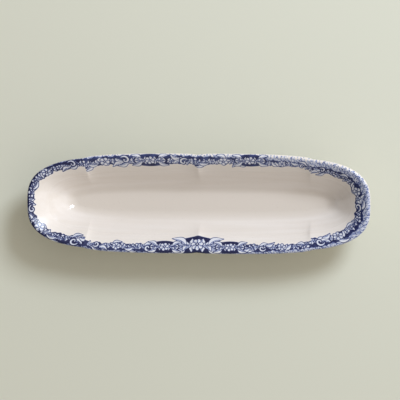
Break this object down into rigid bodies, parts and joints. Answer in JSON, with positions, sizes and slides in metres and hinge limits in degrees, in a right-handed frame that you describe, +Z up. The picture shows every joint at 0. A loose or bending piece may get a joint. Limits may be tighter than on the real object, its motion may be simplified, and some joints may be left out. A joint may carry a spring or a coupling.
{
  "type": "olive dish",
  "caption": "Long narrow oval olive dish in glazed earthenware, with a lobed flaring rim, a blue printed border, a deep plain well and a foot ring to stand on.",
  "frame": {"origin": "on the table, under the middle of the dish", "axes": "+Z up out of the well, +X along the dish, +Y across it to the far side of the picture"},
  "size_m": [0.24, 0.0696, 0.0298],
  "materials": {
    "biscuit": "unglazed earthenware, fine and matt",
    "glaze": "glossy warm white glaze",
    "print": "blue print sunk in the glaze, glossy"
  },
  "bodies": {
    "root": {"dish_body": "biscuit", "foot_ring": "biscuit", "glaze_coat": "glaze", "base_glaze": "glaze", "far_side_print": "print", "left_end_print": "print", "near_side_print": "print", "right_end_print": "print"}
  },
  "joints": []
}
